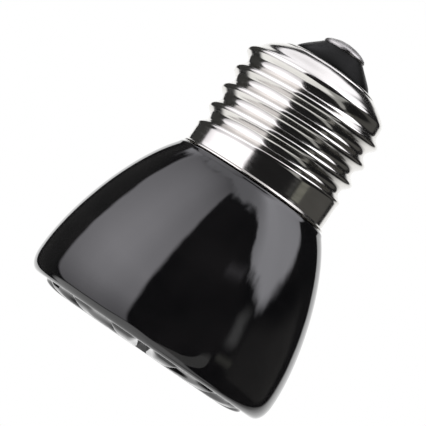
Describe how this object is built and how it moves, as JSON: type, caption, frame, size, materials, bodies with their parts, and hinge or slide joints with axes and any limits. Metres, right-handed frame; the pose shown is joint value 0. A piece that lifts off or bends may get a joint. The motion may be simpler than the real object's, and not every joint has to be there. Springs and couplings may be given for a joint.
{
  "type": "ceramic heat emitter",
  "caption": "Short bell-shaped black glazed ceramic heat emitter with a raised petal relief on its face and a nickel-plated screw cap with a glass insulator and a domed centre contact.",
  "frame": {"origin": "centre of the bottom of the bounding box, on the resting plane through the petals and the boss of the face", "axes": "+Z along the axis of the emitter, from the face to the centre contact; X and Y across it"},
  "size_m": [0.045, 0.045, 0.0595],
  "materials": {
    "black_glaze": "gloss",
    "nickel_plate": "polished",
    "black_glass": "gloss",
    "tinned_brass": "satin",
    "cement": "matte",
    "lead_wire": "satin"
  },
  "bodies": {
    "root": {"ceramic_body": "black_glaze", "screw_shell": "nickel_plate", "cap_insulator": "black_glass", "centre_contact": "tinned_brass", "cap_cement": "cement", "contact_lead": "lead_wire", "shell_lead": "lead_wire"}
  },
  "joints": []
}
